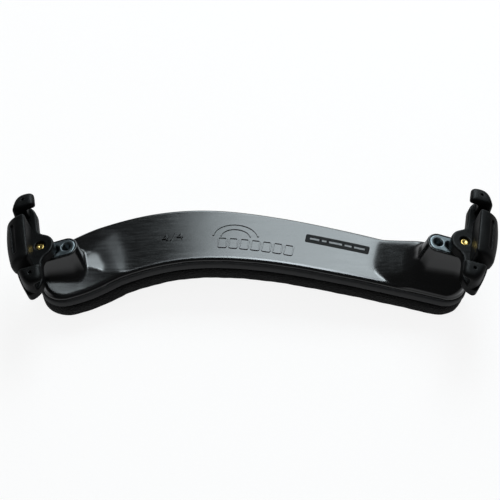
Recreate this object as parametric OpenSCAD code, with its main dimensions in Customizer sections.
// Shoulder rest for a full-size violin: an arched plastic bridge with a foam pad under it and, at each end,
// a clawed fork on a threaded stem. Millimetres, +X along the bridge, +Y away from the player's chest, +Z up
// towards the violin. The pad's lowest point is at Z = 0.

/* [Body] */
// Distance from the body's middle to its left tip
body_left = 105.5; // [103:0.5:108]
// Distance from the body's middle to its right tip
body_right = 107; // [105:0.5:109]
// Radius of the body's corners
body_corner = 10; // [6:0.5:11]
// Thickness of the shell at its edge
shell_edge = 2; // [2:0.1:3.5]
// Height of the carrier under the shell
carrier_height = 4.6; // [3.5:0.1:6]
// How far the carrier's rim stands out past the shell
flange = 1; // [0.8:0.1:2.5]
// Radius of the carrier's corners
carrier_corner = 11; // [9:0.5:12]
// Thickness of the foam pad
foam_height = 9.5; // [7:0.5:12]
// Radius of the foam's corners
foam_corner = 12; // [9:0.5:12.5]
// How far the foam stops short of the body's tips
foam_setback = 0.5; // [0:0.5:4]

/* [Threaded inserts] */
// Radius of the threaded holes
hole_radius = 2.5; // [2:0.1:2.6]
// Distance between neighbouring holes
hole_pitch = 5.8; // [5.6:0.1:6.5]
// Radius of the insert's round ends
insert_radius = 4.7; // [4:0.1:5]
// Thickness of the insert
insert_depth = 8; // [6:0.5:9]
// Wall of the pedestal round the insert
pedestal_wall = 1; // [0.8:0.1:2]

/* [Stems] */
// Outward lean of each stem
lean = 15; // [8:1:20]
// Turn of each fork and insert, which sets the rear claws further apart than the front ones
yaw = 8; // [0:1:10]
// Distance from the body's middle to each stem
stem_reach = 103; // [101:0.5:105]
// How far behind the body's spine the right stem stands
right_back = 3.6; // [0:0.1:7]
// How far behind the body's spine the left stem stands
left_back = 3; // [0:0.1:7]
// Height of the right insert above the body's face
right_rise = 20; // [16:0.5:24]
// Height of the left insert above the body's face
left_rise = 13.5; // [13:0.5:24]
// Outside radius of the thread
thread_radius = 2.45; // [1.9:0.05:2.45]
// Pitch of the thread
thread_pitch = 0.8; // [0.7:0.1:1]
// Height of the fork's top above the insert
fork_height = 6.2; // [6.2:0.1:12]
// Depth of the stem's end below the top of the insert
stem_depth = 12.5; // [10:0.5:12.5]

/* [Forks] */
// Half the width of the fork, across its claws
fork_half = 29; // [26:1:31]
// Radius of the fork's bowed outer edge
fork_bow = 80; // [60:1:100]
// Distance from the stem to the fork's outer edge
fork_reach = 14; // [13:0.5:15]
// Thickness of the fork's plate
plate = 5.2; // [4.5:0.1:5.2]
// Radius of the hub
hub_radius = 6.9; // [6:0.1:7.2]
// Height of the claws above the plate
claw_height = 10.5; // [9:0.5:13]
// Clear height under the hook of a claw
claw_gap = 6.4; // [5:0.1:7]
// Length of each claw along the fork
claw_length = 10; // [8:0.5:11]
// Half the length of the middle grip
grip_half = 14.3; // [12:0.1:15]

/* [Hidden] */
$fn = 48;

// The body's spine: X, then Y, Z and half width there
spine = [
    [-112, -21.2, -9.0, 17.0],
    [-90, -15.4, -7.6, 16.9],
    [-70, -7.3, -4.0, 16.7],
    [-45, -1.4, -1.1, 16.4],
    [-20, 0.0, 0.0, 15.9],
    [10, -2.9, -0.5, 14.9],
    [45, -9.3, -2.7, 14.2],
    [80, -16.3, -6.7, 13.5],
    [114, -22.3, -12.2, 13.2]
];
X = 0;
Y = 1;
Z = 2;
HALF = 3;
// Moves the whole part so that its origin is the middle of its footprint
origin = [0, 14.78, 26.25];
// Clear air between glued or moulded layers, which keeps the solids apart
film = 0.15;
corner_step = 15;
side_steps = 40;
stem_room = 0.4;

// Cubic through the spine's knots, with the slope at a knot taken from its neighbours
function knot(x, i = 0) = i >= len(spine) - 2 || x < spine[i + 1][X] ? i : knot(x, i + 1);
function knot_slope(i, c) =
    let (a = spine[max(i - 1, 0)], b = spine[min(i + 1, len(spine) - 1)])
    (b[c] - a[c]) / (b[X] - a[X]);
function along(x, c) =
    let (i = knot(x), a = spine[i], b = spine[i + 1], w = b[X] - a[X], s = (x - a[X]) / w)
    (2 * s ^ 3 - 3 * s ^ 2 + 1) * a[c] + (s ^ 3 - 2 * s ^ 2 + s) * w * knot_slope(i, c)
    + (3 * s ^ 2 - 2 * s ^ 3) * b[c] + (s ^ 3 - s ^ 2) * w * knot_slope(i + 1, c);
function turn(x, c) = atan((along(x + 0.1, c) - along(x - 0.1, c)) / 0.2);

// A point t behind the spine and n above it
function place(x, t, n) =
    let (a = turn(x, Y), b = turn(x, Z))
    [x - t * sin(a) - n * sin(b), along(x, Y) + t * cos(a), along(x, Z) + n * cos(b)];

// The right end of the body's outline, inset all round: pairs of X and distance in from the full half width
function corner_points(inset, corner) =
    let (r = corner - inset)
    [for (a = [0:corner_step:90]) [r * cos(a), inset + r * (1 - sin(a))]];
function half_outline(inset, corner, setback) =
    let (
        ends = corner_points(inset, corner), x0 = corner + setback - body_left,
        x1 = body_right - setback - corner
    )
    concat(
        [for (e = ends) [x0 - e[0], e[1]]],
        [for (i = [1:side_steps - 1]) [x0 + (x1 - x0) * i / side_steps, inset]],
        [for (i = [len(ends) - 1:-1:0]) [x1 + ends[i][0], ends[i][1]]]
    );
function ring(inset, n, corner, setback) =
    let (h = half_outline(inset, corner, setback))
    concat(
        [for (p = h) place(p[0], p[1] - along(p[0], HALF), n)],
        [for (i = [len(h) - 1:-1:0]) place(h[i][0], along(h[i][0], HALF) - h[i][1], n)]
    );

// A closed layer of the body, whose rings go up its edge as pairs of inset and height
module layer(profile, corner, setback = 0) {
    rings = [for (p = profile) ring(p[0], p[1], corner, setback)];
    m = len(rings[0]);
    top = (len(rings) - 1) * m;
    sides = [for (k = [0:len(rings) - 2], j = [0:m - 1])
        let (a = k * m + j, b = k * m + (j + 1) % m) each [[a, a + m, b + m], [a, b + m, b]]];
    floor_faces = [for (j = [0:m / 2 - 2]) each [[j, j + 1, m - 2 - j], [j, m - 2 - j, m - 1 - j]]];
    roof_faces = [for (f = floor_faces) [top + f[2], top + f[1], top + f[0]]];
    polyhedron([for (r = rings) each r], concat(sides, floor_faces, roof_faces), convexity = 6);
}

// The insert's top at a stem, from the spine there. A side is 1 for the right and -1 for the left.
function seat(side) =
    let (x = side * stem_reach)
    side > 0
        ? [x, along(x, Y) + right_back, along(x, Z) + right_rise]
        : [x, along(x, Y) + left_back, along(x, Z) + left_rise];
// Puts children in the frame of a stem: +X outwards, +Y to the rear, +Z up the stem from the insert's top
module at_stem(side) {
    translate(seat(side)) rotate([0, side * lean, 0]) rotate([0, 0, -side * yaw])
        mirror([side < 0 ? 1 : 0, 0, 0]) children();
}

module stadium(radius, inner, outer = 0) {
    translate([outer, 0]) circle(radius);
    translate([inner, 0]) circle(radius);
    translate([inner, -radius]) square([outer - inner, 2 * radius]);
}

// The raised pedestal that carries an insert. Its walls spread to a foot on the body's face, furthest inwards.
foot_radius = 6;
foot_sides = [-6, 5];
right_foot = [66.5, 98];
left_foot = [70, 97];
module pedestal(side) {
    rise = side > 0 ? right_rise : left_rise;
    foot = side > 0 ? right_foot : left_foot;
    hull() {
        pedestal_section(side, 0, 0, 0);
        pedestal_section(side, 0.5 * rise, 2.7, 0.5);
    }
    hull() {
        pedestal_section(side, 0.5 * rise, 2.7, 0.5);
        pedestal_section(side, 0.78 * rise, 6.5, 2.3);
    }
    hull() {
        pedestal_section(side, 0.78 * rise, 6.5, 2.3);
        for (x = foot, t = foot_sides)
            translate(place(side * x, t, -0.9)) cylinder(r = foot_radius, h = 0.6, $fn = 32);
    }
}
// A slice of the pedestal at a depth below the insert's top. It keeps clear of the body's end as it grows.
module pedestal_section(side, depth, inward, grow) {
    at_stem(side) translate([0, 0, -depth - 1]) linear_extrude(1)
        stadium(insert_radius + pedestal_wall + grow, -2 * hole_pitch - inward, -grow, $fn = 32);
}
module insert_pocket() {
    translate([0, 0, -insert_depth]) linear_extrude(insert_depth + 1) stadium(insert_radius, -2 * hole_pitch);
    stem_wells();
}
// Room for a stem's end below each hole
module stem_wells() {
    for (i = [0:2])
        translate([-i * hole_pitch, 0, -stem_depth - 0.5])
            cylinder(r = thread_radius + stem_room, h = stem_depth);
}

module shell_layer() {
    layer([[0, -shell_edge], [0, -1.5], [0.4, -0.9], [1.3, -0.4], [3, -0.05], [6, 0]], body_corner);
}
module base_shell() {
    color("dimgray") shell_layer();
}
module shell_pedestal(side) {
    color("dimgray") difference() {
        pedestal(side);
        shell_layer();
        at_stem(side) insert_pocket();
    }
}
module pad_carrier() {
    low = -shell_edge - carrier_height;
    high = -shell_edge - film;
    color("gray") layer(
        [[0.8 - flange, low], [-flange, low + 0.8], [-flange, high - 1.2], [-flange / 2, high]],
        carrier_corner
    );
}
module foam_pad() {
    high = -shell_edge - carrier_height - film;
    low = high - foam_height;
    side = 0.1 - flange;
    color("black") layer(
        [[6, low], [side + 2.3, low + 0.5], [side + 0.7, low + 1.8], [side, low + 3.8], [side, high]],
        foam_corner, foam_setback
    );
}
// A thin adhesive label, which follows the face
module info_label() {
    cols = 12;
    x0 = 26;
    x1 = 57.7;
    t0 = 1.6;
    t1 = 6.7;
    gap = 0.12;
    thick = 0.25;
    grid = [for (n = [gap, gap + thick], t = [t0, t1], i = [0:cols])
        place(x0 + (x1 - x0) * i / cols, t, n)];
    m = cols + 1;
    strips = [for (i = [0:cols - 1]) each [
        [i, i + 1, m + i + 1, m + i],
        [3 * m + i, 3 * m + i + 1, 2 * m + i + 1, 2 * m + i],
        [i, 2 * m + i, 2 * m + i + 1, i + 1],
        [m + i + 1, 3 * m + i + 1, 3 * m + i, m + i]
    ]];
    ends = [[0, m, 3 * m, 2 * m], [2 * m + cols, 3 * m + cols, m + cols, cols]];
    color("black") polyhedron(grid, concat(strips, ends));
}

module insert_plate() {
    color("lightsteelblue") difference() {
        translate([0, 0, -insert_depth]) linear_extrude(insert_depth) stadium(insert_radius, -2 * hole_pitch);
        for (i = [0:2])
            translate([-i * hole_pitch, 0, -insert_depth - 1]) cylinder(r = hole_radius, h = insert_depth + 2);
    }
}

// A turned brass stem: a plain head held in the hub, and thread ridges below it
shank_radius = 2;
shank_room = 0.04;
head_recess = 0.8;
hub_bottom = 0.4;
core_inset = 3;
core_sink = 0.5;
module stem() {
    root = thread_radius - 0.45;
    turns = floor((hub_bottom + stem_depth - 0.8) / thread_pitch);
    low = -stem_depth + 0.4;
    ridges = [for (i = [0:turns - 1]) each [
        [root, low + i * thread_pitch], [thread_radius, low + (i + 0.5) * thread_pitch]
    ]];
    color("gold") rotate_extrude() polygon(concat(
        [[0, -stem_depth], [root - 0.4, -stem_depth]], ridges,
        [[root, low + turns * thread_pitch], [shank_radius, hub_bottom],
         [shank_radius, fork_height - head_recess], [0, fork_height - head_recess]]
    ));
}

// Fork outline: a bar with round ends, cut to a bow on its outer side
inner_edge = 0.2;
bar_round = 9;
module bow(grow = 0) {
    translate([fork_reach - fork_bow, 0]) circle(fork_bow + grow, $fn = 180);
}
module bar_outline() {
    middle = inner_edge + bar_round;
    intersection() {
        bow();
        union() {
            translate([inner_edge, bar_round - fork_half]) square([2 * bar_round, 2 * (fork_half - bar_round)]);
            for (s = [-1, 1]) translate([middle, s * (fork_half - bar_round)]) circle(bar_round);
        }
    }
}
hook_edge = -2;
arch = 9.2;
claw_draft = 1.8;
throat = 3.2;
skin = 1.5;
claw_start = fork_half - claw_length;

// The outline that a rear claw fills, seen from above
module claw_outline(inset) {
    intersection() {
        bow(-claw_draft - inset);
        translate([2.6, fork_half - arch]) circle(arch - inset);
        translate([hook_edge + inset, claw_start + inset]) square([20, claw_length]);
    }
}
// A rear claw: a wall at the outer side, whose top hooks in over the violin's edge. It can sink into the plate.
module claw(inset, sink = 0) {
    difference() {
        translate([0, 0, -sink]) linear_extrude(claw_height - inset + sink) claw_outline(inset);
        translate([throat + inset - 20, 0, -2]) cube([20, 2 * fork_half, claw_gap + inset + 2]);
    }
}
// The block between the claws, whose back bulges out over the plate
bulge = 1.2;
module middle_block(inset, sink = 0) {
    top = claw_height + 0.6 - inset;
    front = throat + inset;
    depth = fork_reach + bulge - inset - front;
    length = 2 * (grip_half - inset);
    intersection() {
        translate([front, length / 2, 0]) rotate([90, 0, 0]) linear_extrude(length) polygon([
            [0, -sink], [0, top - 0.1 * depth], [0.1 * depth, top], [0.42 * depth, top - 0.6],
            [0.78 * depth, top - 3], [0.96 * depth, top - 6], [depth + 1, top - 8], [depth + 1, -sink]
        ]);
        translate([0, 0, -sink]) linear_extrude(claw_height + 2) bow(bulge - inset);
    }
}

module fork() {
    boss = fork_height - 0.5;
    color([0.12, 0.12, 0.13]) translate([0, 0, fork_height]) difference() {
        union() {
            translate([0, 0, -plate]) linear_extrude(plate) bar_outline();
            translate([0, 0, -boss]) cylinder(r = hub_radius, h = boss);
            claw(skin, core_sink);
            mirror([0, 1, 0]) claw(skin, core_sink);
            middle_block(core_inset, core_sink);
        }
        translate([0, 0, -boss - 1]) cylinder(r = shank_radius + shank_room, h = boss + 2);
    }
}
// Rubber covers, moulded over the fork's cores
module claw_grip() {
    color([0.08, 0.08, 0.09]) translate([0, 0, fork_height]) difference() {
        claw(0);
        claw(skin, core_sink);
        translate([3.4, fork_half - 5.3, claw_height - 0.8]) cylinder(r = 0.8, h = 2);
    }
}
module middle_grip() {
    color([0.1, 0.1, 0.11]) translate([0, 0, fork_height]) difference() {
        middle_block(0);
        middle_block(core_inset, core_sink);
        translate([fork_reach - 3.6, -8, claw_height - 2.4]) cube([1.4, 16, 4]);
    }
}

translate(origin) base_shell();
translate(origin) shell_pedestal(-1);  // left_pedestal
translate(origin) shell_pedestal(1);  // right_pedestal
translate(origin) pad_carrier();
translate(origin) foam_pad();
translate(origin) info_label();
translate(origin) at_stem(-1) insert_plate();  // left_insert
translate(origin) at_stem(1) insert_plate();  // right_insert
translate(origin) at_stem(-1) stem();  // left_stem
translate(origin) at_stem(1) stem();  // right_stem
translate(origin) at_stem(-1) fork();  // left_fork
translate(origin) at_stem(1) fork();  // right_fork
translate(origin) at_stem(-1) claw_grip();  // left_rear_claw_grip
translate(origin) at_stem(-1) mirror([0, 1, 0]) claw_grip();  // left_front_claw_grip
translate(origin) at_stem(-1) middle_grip();  // left_middle_grip
translate(origin) at_stem(1) claw_grip();  // right_rear_claw_grip
translate(origin) at_stem(1) mirror([0, 1, 0]) claw_grip();  // right_front_claw_grip
translate(origin) at_stem(1) middle_grip();  // right_middle_grip
